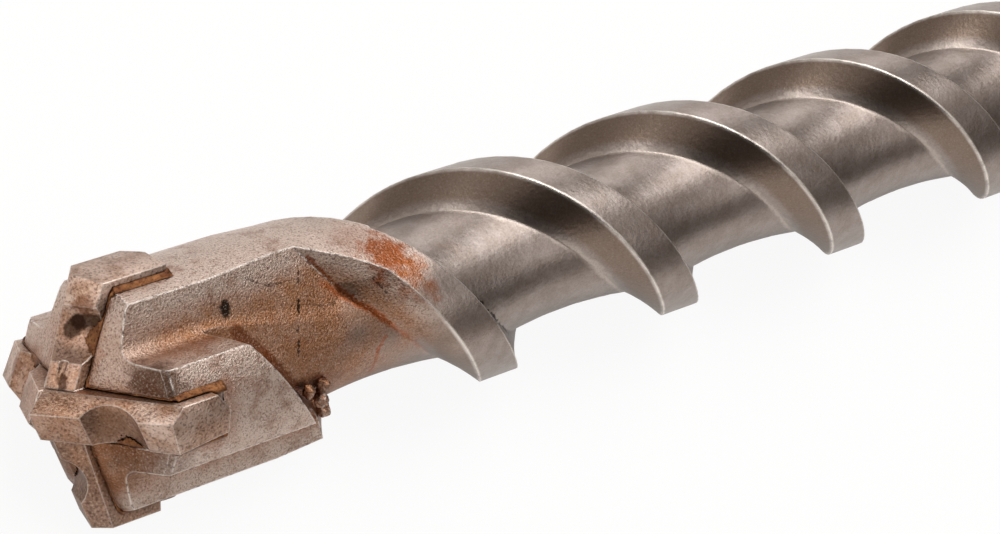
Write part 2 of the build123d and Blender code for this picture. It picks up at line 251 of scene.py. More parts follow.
def worn_edges(graph: Graph, reach_mm: float) -> tuple[bpy.types.NodeSocket, bpy.types.NodeSocket]:
    """Find a surface's edges from the difference between its normal and a rounded one.

    Args:
        graph: The material's nodes.
        reach_mm: How far from an edge the effect starts.

    Returns:
        The rounded normal and a mask of the edges.
    """
    rounded = graph.add(Kind.ROUNDED_NORMAL, reach_mm * MM)
    agreement = graph.add(Kind.DOT, rounded, graph.add(Kind.NORMAL))
    return rounded, graph.add(Kind.FADE, agreement, *EDGE_SPAN)


def hollows(graph: Graph, reach_mm: float) -> bpy.types.NodeSocket:
    """Mask the inner corners, for rust and painted shade, up to a reach from each corner."""
    openness = graph.add(Kind.OPENNESS, reach_mm * MM)
    return graph.add(Kind.FADE, openness, *CORNER_SPAN)


@dataclass(frozen=True)
class Stroke:
    """A scratch, crack, rust line or painted shade: its points in the row frame in mm, its width and its
    tint.
    """

    points: tuple[tuple[float, float, float], ...]
    width_mm: float
    tint: Tint


@dataclass(frozen=True)
class Spot:
    """A round mark: its distance from the tip, radius and angle, its two own radii and its tint."""

    place: tuple[float, float, float]
    inner_mm: float
    outer_mm: float
    tint: Tint


class Place:
    """Where a point of a surface is on the bit, for patterns that follow the real one."""

    # A stroke is full to the first share of its width and gone past the second
    stroke_span: Span = (0.36, 0.66)

    def __init__(self, graph: Graph) -> None:
        """Add the nodes that turn Object coordinates into places on the bit.

        Args:
            graph: The material's nodes.
        """
        self.graph = graph
        self.point = graph.add(Kind.OBJECT_POINT)
        location = (TIP_X_MM * MM, 0.0, AXIS_HEIGHT_MM * MM)
        rotation = (math.radians(REST_TURN_DEG), 0.0, 0.0)
        upright_point = graph.add(Kind.MAPPING, self.point, location, rotation)
        along, across, upright = graph.add(Kind.SPLIT, upright_point).node.outputs
        self.along = graph.add(Kind.MULTIPLY, along, 1.0 / MM)
        self.across = graph.add(Kind.MULTIPLY, across, -1.0 / MM)
        self.upright = graph.add(Kind.MULTIPLY, upright, 1.0 / MM)
        square_across = graph.add(Kind.MULTIPLY, self.across, self.across)
        square_upright = graph.add(Kind.MULTIPLY, self.upright, self.upright)
        self.radius = graph.add(Kind.ROOT, graph.add(Kind.ADD, square_across, square_upright))

    def helix_distance(self, line_mm: float) -> bpy.types.NodeSocket:
        """Find how far along the bit a point is from a line that both lands or flutes have.

        Args:
            line_mm: Where the line crosses the upright direction.

        Returns:
            The distance's socket, in millimetres.
        """
        add = self.graph.add
        half = LEAD_MM / 2
        angle = add(Kind.ANGLE, self.across, self.upright)
        shift = add(Kind.MULTIPLY, angle, LEAD_MM / math.tau)
        phase = add(Kind.SUBTRACT, self.along, shift)
        phase = add(Kind.SUBTRACT, phase, line_mm - half / 2)
        wrapped = add(Kind.WRAP, phase, half, 0.0)
        return add(Kind.ABSOLUTE, add(Kind.SUBTRACT, wrapped, half / 2))

    def plate_distance(self) -> bpy.types.NodeSocket:
        """Find the distance from the nearer of the two crossed middle planes of the carbide."""
        add = self.graph.add
        return add(Kind.SMALLER, add(Kind.ABSOLUTE, self.across), add(Kind.ABSOLUTE, self.upright))

    def near(self, spot: Spot, wobble: Value) -> bpy.types.NodeSocket:
        """Mask a round spot.

        Args:
            spot: The spot, full inside its inner radius and gone past its outer one.
            wobble: Distance added to the real one, in millimetres, to roughen the rim.

        Returns:
            The mask's socket.
        """
        add = self.graph.add
        apart = add(Kind.DISTANCE, self.point, tuple(on_bit(*spot.place)))
        distance = add(Kind.ADD, add(Kind.MULTIPLY, apart, 1.0 / MM), wobble)
        return add(Kind.FADE, distance, spot.inner_mm, spot.outer_mm, 1.0, 0.0)

    def line(self, start: Vector, end: Vector, width_mm: float, wobble: Value) -> bpy.types.NodeSocket:
        """Mask a straight line with soft sides.

        Args:
            start: First end, in the row frame in metres.
            end: Other end.
            width_mm: Width of the line.
            wobble: Distance added to the real one, in millimetres, to roughen the sides.

        Returns:
            The mask's socket.
        """
        add = self.graph.add
        run = end - start
        offset = add(Kind.OFFSET, self.point, tuple(start))
        share = add(Kind.DOT, offset, tuple(run / run.length_squared))
        share = add(Kind.ADD, share, 0.0, use_clamp=True)
        apart = add(Kind.DISTANCE, offset, add(Kind.STRETCH, tuple(run), share))
        distance = add(Kind.ADD, add(Kind.MULTIPLY, apart, 1.0 / MM), wobble)
        full, gone = (width_mm * part for part in self.stroke_span)
        return add(Kind.FADE, distance, full, gone, 1.0, 0.0)

    def marked(self, colour: Value, spots: tuple[Spot, ...], strokes: tuple[Stroke, ...],
               rim: Value, side: Value) -> bpy.types.NodeSocket:
        """Lay spots and strokes over a colour.

        Args:
            colour: The colour below.
            spots: The round marks.
            strokes: The thin marks.
            rim: Distance that roughens the rims of the spots, in millimetres.
            side: Distance that roughens the sides of the strokes, in millimetres.

        Returns:
            The socket of the marked colour.
        """
        for spot in spots:
            colour = self.graph.lay(spot.tint, self.near(spot, rim), colour)
        for stroke in strokes:
            for start, end in zip(stroke.points, stroke.points[1:]):
                mask = self.line(Vector(start) * MM, Vector(end) * MM, stroke.width_mm, side)
                colour = self.graph.lay(stroke.tint, mask, colour)
        return colour


# The heat tint on the first land, the stains in the valleys and the burnt patches of the front
STEEL_SPOTS = (
    Spot((23.2, 7.0, 26.0), 0.5, 2.6, Tint("#7E4A28", 0.35)),
    Spot((24.9, 7.0, 41.0), 0.9, 2.2, Tint("#84400F", 0.92)),
    Spot((25.9, 7.0, 55.0), 0.4, 1.8, Tint("#94501C", 0.8)),
    Spot((26.8, 7.0, 66.0), 0.1, 1.2, Tint("#8A5230", 0.6)),
    Spot((20.5, 5.0, 118.0), 0.6, 2.4, Tint("#5A2E14", 0.4)),
    Spot((21.5, 4.6, 40.0), 0.2, 1.6, Tint("#9A5A30", 0.3)),
    Spot((4.8, 6.2, 68.0), 0.9, 2.5, Tint("#4A2C1A", 0.85)),
    Spot((4.6, 5.4, 116.0), 1.4, 3.4, Tint("#4E3020", 0.6)),
)

# The black pit and the black dashes in the valley, the hair cracks beside them, the rust
# lines at the flanks' feet and the crack behind the first land
STEEL_STROKES = (
    Stroke(((-67.36, 0.98, 12.60), (-67.36, 0.72, 12.44)), 0.72, Tint("#0E0A08", 0.95)),
    Stroke(((-61.54, 0.10, 11.97), (-61.77, -0.53, 11.67)), 0.22, Tint("#0E0A08", 0.95)),
    Stroke(((-60.96, 1.74, 12.76), (-61.20, 1.05, 12.40)), 0.12, Tint("#2A1A12", 0.7)),
    Stroke(((-62.05, -1.35, 11.30), (-62.15, -1.60, 11.15)), 0.16, Tint("#2A1A12", 0.8)),
    Stroke(((-62.22, -2.05, 10.85), (-62.40, -2.75, 10.35)), 0.16, Tint("#1A110C", 0.85)),
    Stroke(((-65.40, 2.07, 13.24), (-63.69, 1.32, 12.69), (-61.85, 1.29, 12.59)),
           0.12, Tint("#3A2418", 0.55)),
    Stroke(((-60.85, -0.26, 11.75), (-59.95, -0.57, 11.57), (-58.72, -0.67, 11.51)),
           0.12, Tint("#3A2418", 0.5)),
    Stroke(((-56.52, -0.44, 13.17), (-55.76, -1.47, 12.78)), 0.1, Tint("#241811", 0.7)),
    Stroke(((-55.31, -3.34, 10.03), (-55.69, -3.76, 9.27), (-55.45, -4.28, 7.33)),
           0.3, Tint("#98502A", 0.6)),
    Stroke(((-60.17, 2.13, 13.09), (-59.17, 1.04, 12.47), (-57.63, -0.71, 11.79), (-55.03, -2.84, 10.83)),
           0.3, Tint("#7E3E16", 0.8)),
    Stroke(((-66.95, -0.55, 11.86), (-65.00, -2.49, 10.70), (-62.75, -4.45, 8.85), (-60.41, -5.39, 6.37)),
           0.95, Tint("#6E3A1C", 0.85)),
    Stroke(((-47.17, -3.04, 10.32), (-45.52, -4.10, 8.96), (-43.18, -4.82, 6.75)),
           0.2, Tint("#1A120E", 0.85)),
)

# The burnt and worn patches of the wings' faces
CARBIDE_SPOTS = (
    Spot((3.9, 6.3, 6.0), 0.4, 0.9, Tint("#6A3C20", 0.6)),
    Spot((3.0, 3.7, 95.0), 0.8, 1.9, Tint("#5E4232", 0.6)),
    Spot((3.76, 6.05, -83.3), 0.4, 0.8, Tint("#6A4028", 0.6)),
    Spot((4.6, 7.0, 79.7), 0.2, 1.0, Tint("#8A5A38", 0.4)),
)

# Painted shade in the notch of the upright wing and in the small notch below it
CARBIDE_NOTCH_SHADE = (
    Stroke(((-75.70, 2.95, 11.60), (-76.10, 3.50, 10.75), (-76.43, 3.43, 9.98)),
           0.95, Tint("#26140A", 0.82)),
    Stroke(((-77.90, 1.05, 9.05), (-77.97, 0.70, 8.80)), 0.6, Tint("#3A2010", 0.8)),
)


@dataclass(frozen=True)
class BlastedSteel:
    """Hardened steel, shot-blasted after brazing: bronze and gritty on the head, grey-brown behind."""

    # Shot-blasting gives a broad, dull sheen that sparkles in tiny dents, and the heat of
    # brazing tints it bronze. Dents of about 0.05 mm are drawn coarser, so that they show
    head_grit_mm: float = 0.13
    flute_grit_mm: float = 0.32
    flute_grit_share: float = 0.3
    dent_depth_mm: float = 0.07
    cloud_mm: float = 4.0
    blotch_mm: float = 2.0
    patch_mm: float = 1.2
    nick_mm: float = 0.45
    spot_grain_mm: float = 0.9
    spot_wobble_mm: float = 3.0
    stroke_grain_mm: float = 0.3
    stroke_wobble_mm: float = 0.5
    metallic: float = 0.97
    head_roughness: float = 0.36
    flute_roughness: float = 0.32
    edge_reach_mm: float = 0.19
    corner_reach_mm: float = 1.1

    head_light: str = "#C4B0A4"
    head_dark: str = "#9C7052"
    flute_light: str = "#9A8F89"
    flute_dark: str = "#8A7E76"
    # Rust and painted shade in the head's inner corners
    corner_rust_and_shade: str = "#5E3216"
    bare_edge: str = "#F2EAE2"
    # Painted shade: a darker brown tint on the flanks of the flutes
    flank: Tint = Tint("#7C6A5C", 0.8)
    mottling: Tint = Tint("#7C4C2E", 0.5)
    stain: Tint = Tint("#96582E", 0.35)
    foot_rust: Tint = Tint("#9C5226", 0.8)
    # Painted highlight along the flanks' feet on the flutes
    foot_highlight: Tint = Tint("#D8CCC2", 0.35)
    dark_grain: Tint = Tint("#4E3018", 0.6)
    light_grain: Tint = Tint("#E0CCBC", 0.28)
    # Painted highlight along the lands' ridges
    ridge_highlight: Tint = Tint("#F2EAE2", 0.5)
    nick: Tint = Tint("#15100D", 0.85)

    # Where each look fades in or out: radii, places along the bit and distances, in mm
    head_end: Span = (20.0, 32.0)
    head_end_wander: float = 18.0
    valley_radius: Span = (6.9, 5.2)
    front_along: Span = (9.0, 4.0)
    front_upright: Span = (-1.5, 0.5)
    flank_root: Span = (5.0, 5.5)
    flank_top: Span = (6.95, 6.7)
    flank_end: Span = (FLUTE_END_MM, FLUTE_END_MM - 8.0)
    beside_plate: Span = (2.6, 1.7)
    plate_end: Span = (10.8, 9.4)
    corner_end: Span = (26.0, 18.0)
    corner_start: Span = (5.0, 9.0)
    foot_width: Span = (0.5, 0.12)
    foot_radius: Span = (5.4, 5.0)
    foot_end: Span = (FLUTE_END_MM, FLUTE_END_MM - 6.0)
    foot_rust_start: Span = (9.0, 13.0)
    foot_rust_end: Span = (31.0, 24.0)
    foot_highlight_start: Span = (26.0, 33.0)
    edge_radius: Span = (4.7, 6.0)
    ridge_width: Span = (0.22, 0.06)
    ridge_radius: Span = (6.6, 6.85)
    ridge_start: Span = (26.5, 28.0)
    nick_end: Span = (30.0, 20.0)

    # Heights of the uneven noises between which a look fades in
    valley_patch: Span = (0.35, 0.7)
    mottling_height: Span = (0.5, 0.66)
    worn_patch: Span = (0.28, 0.5)
    nick_height: Span = (0.56, 0.62)

    # What such a fade runs between: shares of a mask, and wobbles of an outline in mm
    valley_wobble: Span = (-0.18, 0.18)
    plate_wobble: Span = (0.45, -0.45)
    foot_wobble: Span = (-0.2, 0.25)
    front_share: Span = (0.0, 0.65)
    corner_share: Span = (0.12, 0.65)
    corner_patch_share: Span = (0.5, 1.0)
    corner_front_share: Span = (0.45, 1.0)
    worn_share: Span = (0.35, 1.0)

    def build(self) -> bpy.types.Material:
        """Build the material.

        Returns:
            The finished material.
        """
        material, graph = new_material("shot_blasted_steel")
        add = graph.add
        place = Place(graph)
        cloud = add(Kind.NOISE, place.point, grains(self.cloud_mm), 2.0)
        patch = add(Kind.NOISE, place.point, grains(self.patch_mm), 4.0, 0.65)
        wander = add(Kind.MULTIPLY, add(Kind.SUBTRACT, cloud, NOISE_MIDDLE), self.head_end_wander)
        behind = add(Kind.FADE, add(Kind.ADD, place.along, wander), *self.head_end)
        normal, edge = worn_edges(graph, self.edge_reach_mm)
        corner = hollows(graph, self.corner_reach_mm)

        colour = self.base(graph, place, behind, patch)
        colour = self.stains(graph, place, colour, corner, patch)
        colour = self.feet(graph, place, colour, patch)
        colour = self.marks(graph, place, colour)
        colour, height = self.grit(graph, place, colour, behind)
        colour = self.edges(graph, place, colour, edge, patch)

        bump = add(Kind.BUMP, height, self.dent_depth_mm * MM, 1.0, normal)
        roughness = add(Kind.FADE, behind, 0.0, 1.0, self.head_roughness, self.flute_roughness)
        shader = add(Kind.METAL, colour, self.metallic, roughness, bump)
        add(Kind.SURFACE_OUTPUT, shader)
        return material

    def base(self, graph: Graph, place: Place, behind: Value, patch: Value) -> bpy.types.NodeSocket:
        """Colour the metal: warm on the head, warmer down in its valleys, cool on the flutes, painted
        shade on their flanks.

        Args:
            graph: The material's nodes.
            place: Where the surface is on the bit.
            behind: Mask of the bit behind the head.
            patch: Noise that makes colours uneven.

        Returns:
            The colour's socket.
        """
        add = graph.add
        deep = add(Kind.FADE, place.radius, *self.valley_radius)
        uneven = add(Kind.FADE, patch, *self.valley_patch, *self.valley_wobble)
        deep = add(Kind.ADD, deep, uneven, use_clamp=True)
        front = add(
            Kind.MULTIPLY,
            add(Kind.FADE, place.along, *self.front_along),
            add(Kind.FADE, place.upright, *self.front_upright, *self.front_share),
        )
        deep = add(Kind.MULTIPLY, deep, add(Kind.SUBTRACT, 1.0, front))
        warm = add(Kind.MIX, deep, linear(self.head_light), linear(self.head_dark))
        blotch = add(Kind.NOISE, place.point, grains(self.blotch_mm), 6.0, 0.7)
        warm = graph.lay(self.mottling, add(Kind.FADE, blotch, *self.mottling_height), warm)

        uneven = add(Kind.FADE, patch, *UNEVEN_SPAN)
        cool = add(Kind.MIX, uneven, linear(self.flute_dark), linear(self.flute_light))
        # Painted shade: the flutes' flanks, between their root and the lands, are tinted darker brown
        flank = add(
            Kind.MULTIPLY,
            add(Kind.FADE, place.radius, *self.flank_root),
            add(Kind.FADE, place.radius, *self.flank_top),
        )
        flank = add(Kind.MULTIPLY, flank, add(Kind.FADE, place.along, *self.flank_end))
        cool = graph.lay(self.flank, flank, cool)
        return add(Kind.MIX, behind, warm, cool)

    def stains(self, graph: Graph, place: Place, colour: Value, corner: Value,
               patch: Value) -> bpy.types.NodeSocket:
        """Stain the steel orange beside the braze, and darken the corners of the head brown with rust and
        painted shade.

        Args:
            graph: The material's nodes.
            place: Where the surface is on the bit.
            colour: The colour below.
            corner: Mask of the inner corners.
            patch: Noise that makes colours uneven.

        Returns:
            The colour's socket.
        """
        add = graph.add
        wobble = add(Kind.FADE, patch, *UNEVEN_SPAN, *self.plate_wobble)
        rim = add(Kind.ADD, place.plate_distance(), wobble)
        beside = add(
            Kind.MULTIPLY,
            add(Kind.FADE, rim, *self.beside_plate),
            add(Kind.FADE, place.along, *self.plate_end),
        )
        colour = graph.lay(self.stain, beside, colour)
        # Rust and painted shade: the head's less open inner corners are darkened brown
        on_head = add(Kind.FADE, place.along, *self.corner_end, *self.corner_share)
        uneven = add(Kind.FADE, patch, *LOWER_SPAN, *self.corner_patch_share)
        past_front = add(Kind.FADE, place.along, *self.corner_start, *self.corner_front_share)
        rusted_and_shaded = add(Kind.MULTIPLY, corner, on_head)
        rusted_and_shaded = add(Kind.MULTIPLY, rusted_and_shaded, uneven)
        rusted_and_shaded = add(Kind.MULTIPLY, rusted_and_shaded, past_front)
        return add(Kind.MIX, rusted_and_shaded, colour, linear(self.corner_rust_and_shade))

    def feet(self, graph: Graph, place: Place, colour: Value, patch: Value) -> bpy.types.NodeSocket:
        """Draw the lines along the flanks' feet: rusty on the head, a painted highlight on the flutes.

        Args:
            graph: The material's nodes.
            place: Where the surface is on the bit.
            colour: The colour below.
            patch: Noise that makes colours uneven.

        Returns:
            The colour's socket.
        """
        add = graph.add
        wobble = add(Kind.FADE, patch, *UNEVEN_SPAN, *self.foot_wobble)
        distance = add(Kind.ADD, place.helix_distance(FLANK_FOOT_MM), wobble)
        low = add(
            Kind.MULTIPLY,
            add(Kind.FADE, place.radius, *self.foot_radius),
            add(Kind.FADE, place.along, *self.foot_end),
        )
        foot = add(Kind.MULTIPLY, add(Kind.FADE, distance, *self.foot_width), low)
        rusty = add(Kind.MULTIPLY, foot, add(Kind.FADE, place.along, *self.foot_rust_end))
        rusty = add(Kind.MULTIPLY, rusty, add(Kind.FADE, place.along, *self.foot_rust_start))
        colour = graph.lay(self.foot_rust, rusty, colour)
        # Painted highlight: a pale line along the flanks' feet on the flutes
        highlighted = add(Kind.MULTIPLY, foot, add(Kind.FADE, place.along, *self.foot_highlight_start))
        return graph.lay(self.foot_highlight, highlighted, colour)

    def marks(self, graph: Graph, place: Place, colour: Value) -> bpy.types.NodeSocket:
        """Add the heat tint, the burnt spots, the pits, the scratches and the rust cracks.

        Args:
            graph: The material's nodes.
            place: Where the surface is on the bit.
            colour: The colour below.

        Returns:
            The colour's socket.
        """
        add = graph.add
        wide = add(Kind.NOISE, place.point, grains(self.spot_grain_mm), 4.0)
        fine = add(Kind.NOISE, place.point, grains(self.stroke_grain_mm), 3.0)
        rim = add(Kind.MULTIPLY, add(Kind.SUBTRACT, wide, NOISE_MIDDLE), self.spot_wobble_mm)
        side = add(Kind.MULTIPLY, add(Kind.SUBTRACT, fine, NOISE_MIDDLE), self.stroke_wobble_mm)
        return place.marked(colour, STEEL_SPOTS, STEEL_STROKES, rim, side)

    def grit(self, graph: Graph, place: Place, colour: Value,
             behind: Value) -> tuple[bpy.types.NodeSocket, bpy.types.NodeSocket]:
        """Add the grain of the blasted surface, coarse on the head and faint on the flutes.

        Args:
            graph: The material's nodes.
            place: Where the surface is on the bit.
            colour: The colour below.
            behind: Mask of the bit behind the head.

        Returns:
            The sockets of the colour and of the grain's height.
        """
        add = graph.add
        coarse = add(Kind.NOISE, place.point, grains(self.head_grit_mm), *GRAIN_DETAIL)
        fine = add(Kind.NOISE, place.point, grains(self.flute_grit_mm), 4.0, 0.6)
        weak = add(Kind.FADE, behind, 0.0, 1.0, 1.0, self.flute_grit_share)
        dark = add(Kind.MULTIPLY, add(Kind.FADE, coarse, *DARK_GRAIN_SPAN), weak)
        colour = graph.lay(self.dark_grain, dark, colour)
        light = add(Kind.MULTIPLY, add(Kind.FADE, coarse, *LIGHT_GRAIN_SPAN), weak)
        colour = graph.lay(self.light_grain, light, colour)
        height = add(Kind.MIX, behind, coarse, fine)
        return colour, add(Kind.MULTIPLY, height, weak)

    def edges(self, graph: Graph, place: Place, colour: Value, edge: Value,
              patch: Value) -> bpy.types.NodeSocket:
        """Wear the edges bright, paint a highlight along the lands' ridges, and nick the head's edges
        dark.

        Args:
            graph: The material's nodes.
            place: Where the surface is on the bit.
            colour: The colour below.
            edge: Mask of the edges.
            patch: Noise that makes colours uneven.

        Returns:
            The colour's socket.
        """
        add = graph.add
        worn = add(Kind.MULTIPLY, edge, add(Kind.FADE, place.radius, *self.edge_radius))
        worn = add(Kind.MULTIPLY, worn, add(Kind.FADE, patch, *self.worn_patch, *self.worn_share))
        colour = add(Kind.MIX, worn, colour, linear(self.bare_edge))

        # Painted highlight: a pale line along the ridges of the lands on the flutes
        ridge = add(Kind.FADE, place.helix_distance(LAND_TIP_EDGE_MM), *self.ridge_width)
        ridge = add(Kind.MULTIPLY, ridge, add(Kind.FADE, place.radius, *self.ridge_radius))
        ridge = add(Kind.MULTIPLY, ridge, add(Kind.FADE, place.along, *self.ridge_start))
        ridge = add(Kind.MULTIPLY, ridge, add(Kind.FADE, place.along, *self.flank_end))
        ridge = add(Kind.MULTIPLY, ridge, add(Kind.FADE, patch, *LOWER_SPAN, *self.worn_share))
        colour = graph.lay(self.ridge_highlight, ridge, colour)

        nick = add(Kind.NOISE, place.point, grains(self.nick_mm), 2.0)
        nick = add(Kind.MULTIPLY, add(Kind.FADE, nick, *self.nick_height), edge)
        nick = add(Kind.MULTIPLY, nick, add(Kind.FADE, place.along, *self.nick_end))
        return graph.lay(self.nick, nick, colour)


@dataclass(frozen=True)
class SinteredCarbide:
    """Tungsten carbide as sintered and ground: fine-grained, pinkish brown from brazing."""

    # Sintering leaves an even skin with a satin sheen, bright on the worn edges; painted shade makes
    # it darker in the hollows and on the underside. Its grain of a few hundredths is drawn coarser,
    # so that it shows
    grain_mm: float = 0.17
    grain_depth_mm: float = 0.05
    grain_strength: float = 0.7
    metallic: float = 0.97
    roughness: float = 0.36
    edge_reach_mm: float = 0.14
    corner_reach_mm: float = 0.9
    cloud_mm: float = 1.8
    mark_grain_mm: float = 0.5
    spot_wobble_mm: float = 1.2
    stroke_wobble_mm: float = 0.5

    light: str = "#C4AC9E"
    dark: str = "#A0806C"
    middle: Tint = Tint("#98694A", 0.45)
    # Painted shade on the carbide's underside
    underside_shade: Tint = Tint("#6E4E3C", 0.7)
    hollow_shade: Tint = Tint("#5A351C", 0.8)
    dark_grain: Tint = Tint("#3A261A", 0.6)
    light_grain: Tint = Tint("#D8BFA8", 0.4)
    bare_edge: Tint = Tint("#F2E8DE", 0.7)

    # Where the middle and the painted shade of the underside fade in, in mm, and how high the cloudy
    # noise is
    middle_radius: Span = (6.8, 5.4)
    underside_shade_upright: Span = (-0.5, -2.5)
    cloud_height: Span = (0.35, 0.65)

    def build(self) -> bpy.types.Material:
        """Build the material.

        Returns:
            The finished material.
        """
        material, graph = new_material("sintered_carbide")
        add = graph.add
        place = Place(graph)
        grain = add(Kind.NOISE, place.point, grains(self.grain_mm), *GRAIN_DETAIL)
        cloud = add(Kind.NOISE, place.point, grains(self.cloud_mm), 3.0, 0.6)
        normal, edge = worn_edges(graph, self.edge_reach_mm)
        corner = hollows(graph, self.corner_reach_mm)

        uneven = add(Kind.FADE, cloud, *self.cloud_height)
        colour = add(Kind.MIX, uneven, linear(self.dark), linear(self.light))
        colour = graph.lay(self.middle, add(Kind.FADE, place.radius, *self.middle_radius), colour)
        # Painted shade: the carbide below the axis is darkened, in patches of the cloud
        below = add(
            Kind.MULTIPLY,
            add(Kind.FADE, place.upright, *self.underside_shade_upright),
            add(Kind.FADE, cloud, *LOWER_SPAN),
        )
        colour = graph.lay(self.underside_shade, below, colour)
        # Painted shade: the inner corners of the carbide darkened brown
        colour = graph.lay(self.hollow_shade, corner, colour)
        colour = graph.lay(self.dark_grain, add(Kind.FADE, grain, *DARK_GRAIN_SPAN), colour)
        colour = graph.lay(self.light_grain, add(Kind.FADE, grain, *LIGHT_GRAIN_SPAN), colour)
        colour = graph.lay(self.bare_edge, edge, colour)
        colour = self.marks(graph, place, colour)

        bump = add(Kind.BUMP, grain, self.grain_depth_mm * MM, self.grain_strength, normal)
        shader = add(Kind.METAL, colour, self.metallic, self.roughness, bump)
        add(Kind.SURFACE_OUTPUT, shader)
        return material

    def marks(self, graph: Graph, place: Place, colour: Value) -> bpy.types.NodeSocket:
        """Add the burnt and rough patches of the wings' faces and the painted shade in the notches.

        Args:
            graph: The material's nodes.
            place: Where the surface is on the bit.
            colour: The colour below.

        Returns:
            The colour's socket.
        """
        add = graph.add
        rough = add(Kind.NOISE, place.point, grains(self.mark_grain_mm), 3.0)
        uneven = add(Kind.SUBTRACT, rough, NOISE_MIDDLE)
        rim = add(Kind.MULTIPLY, uneven, self.spot_wobble_mm)
        side = add(Kind.MULTIPLY, uneven, self.stroke_wobble_mm)
        # The strokes lay the painted shade into the notches
        return place.marked(colour, CARBIDE_SPOTS, CARBIDE_NOTCH_SHADE, rim, side)


@dataclass(frozen=True)
class OxidisedBraze:
    """Brass braze that ran out of the joint and oxidised orange-brown."""

    # Air has dulled the melted brass to a rough orange-brown skin with dark scale on it,
    # which hardly mirrors. The scale's fine grain is drawn coarser, so that it shows
    grain_mm: float = 0.18
    grain_depth_mm: float = 0.05
    grain_strength: float = 0.7
    metallic: float = 0.85
    roughness: float = 0.42
    cloud_mm: float = 1.0

    light: str = "#8A5C38"
    dark: str = "#59331C"
    scale: Tint = Tint("#2A160B", 0.7)
    cloud_height: Span = (0.32, 0.66)

    def build(self) -> bpy.types.Material:
        """Build the material.

        Returns:
            The finished material.
        """
        material, graph = new_material("oxidised_braze")
        add = graph.add
        place = Place(graph)
        grain = add(Kind.NOISE, place.point, grains(self.grain_mm), *GRAIN_DETAIL)
        cloud = add(Kind.NOISE, place.point, grains(self.cloud_mm), 4.0, 0.65)
        uneven = add(Kind.FADE, cloud, *self.cloud_height)
        colour = add(Kind.MIX, uneven, linear(self.dark), linear(self.light))
        colour = graph.lay(self.scale, add(Kind.FADE, grain, *DARK_GRAIN_SPAN), colour)
        bump = add(Kind.BUMP, grain, self.grain_depth_mm * MM, self.grain_strength)
        shader = add(Kind.METAL, colour, self.metallic, self.roughness, bump)
        add(Kind.SURFACE_OUTPUT, shader)
        return material


def dress(piece: bpy.types.Object, material: bpy.types.Material) -> None:
    """Give an object one material all over.

    Args:
        piece: The object.
        material: Its finish.
    """
    piece.data.materials.clear()
    piece.data.materials.append(material)
    LOG.info("%s has %s", piece.name, material.name)


@dataclass
class SteelBody:
    """The steel body with its flutes and shank, which is the CAD node itself."""

    node: str = "steel_body"

    def build(self, frame: dict, finish: bpy.types.Material) -> bpy.types.Object:
        """Dress the node.

        Args:
            finish: The steel's finish.

        Returns:
            The dressed piece.
        """
        piece = frame["nodes"][self.node]
        dress(piece, finish)
        return piece


@dataclass
class CopiedNode:
    """A copy of a CAD node whose mesh is refined and which then stands for the node."""

    node: str
    name: str
    merge_mm: float = 0.0005

    def mesh(self, frame: dict) -> bmesh.types.BMesh:
        """Copy the node's mesh, with its loose triangles merged.


        Returns:
            The merged mesh.
        """
        work = bmesh.new()
        work.from_mesh(frame["nodes"][self.node].data)
        bmesh.ops.remove_doubles(work, verts=work.verts, dist=self.merge_mm * MM)
        return work

    def place(self, work: bmesh.types.BMesh, slot: str) -> bpy.types.Object:
        """Turn the mesh into a piece that rides on the bit and replaces the node.

        Args:
            work: The finished mesh, which is freed.
            slot: The record's material slot, which is not used.

        Returns:
            The new object.
        """
        mesh = bpy.data.meshes.new(self.name)
        work.to_mesh(mesh)
        work.free()
        piece = bpy.data.objects.new(self.name, mesh)
        bpy.context.scene.collection.objects.link(piece)
        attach(piece, "root")
        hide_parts(self.node)
        LOG.info("%s: %d faces", self.name, len(mesh.polygons))
        return piece


@dataclass
class CarbideCross(CopiedNode):
    """The carbide cross, with the edges rounded as they come out of the die."""

    node: str = "carbide_head"
    name: str = "carbide_cross"
    flat_deg: float = 1.0
    sharp_deg: float = 18.0
    edge_round_mm: float = 0.11
    round_steps: int = 2
    shading_deg: float = 35.0

    def build(self, frame: dict, finish: bpy.types.Material) -> bpy.types.Object:
        """Round the edges of the cross and dress it.

        Args:
            finish: The carbide's finish.

        Returns:
            The finished piece.
        """
        work = self.mesh(frame)
        bmesh.ops.dissolve_limit(
            work, angle_limit=math.radians(self.flat_deg), verts=work.verts, edges=work.edges,
        )
        sharp = math.radians(self.sharp_deg)
        edges = [edge for edge in work.edges if edge.is_manifold and edge.calc_face_angle() > sharp]
        bmesh.ops.bevel(
            work, geom=edges, offset=self.edge_round_mm * MM, offset_type="OFFSET", affect="EDGES",
            segments=self.round_steps, profile=0.5, material=-1, clamp_overlap=True,
        )
        bmesh.ops.triangulate(work, faces=work.faces)
        for face in work.faces:
            face.smooth = True
        piece = self.place(work, "carbide")
        piece.data.set_sharp_from_angle(angle=math.radians(self.shading_deg))
        dress(piece, finish)
        return piece


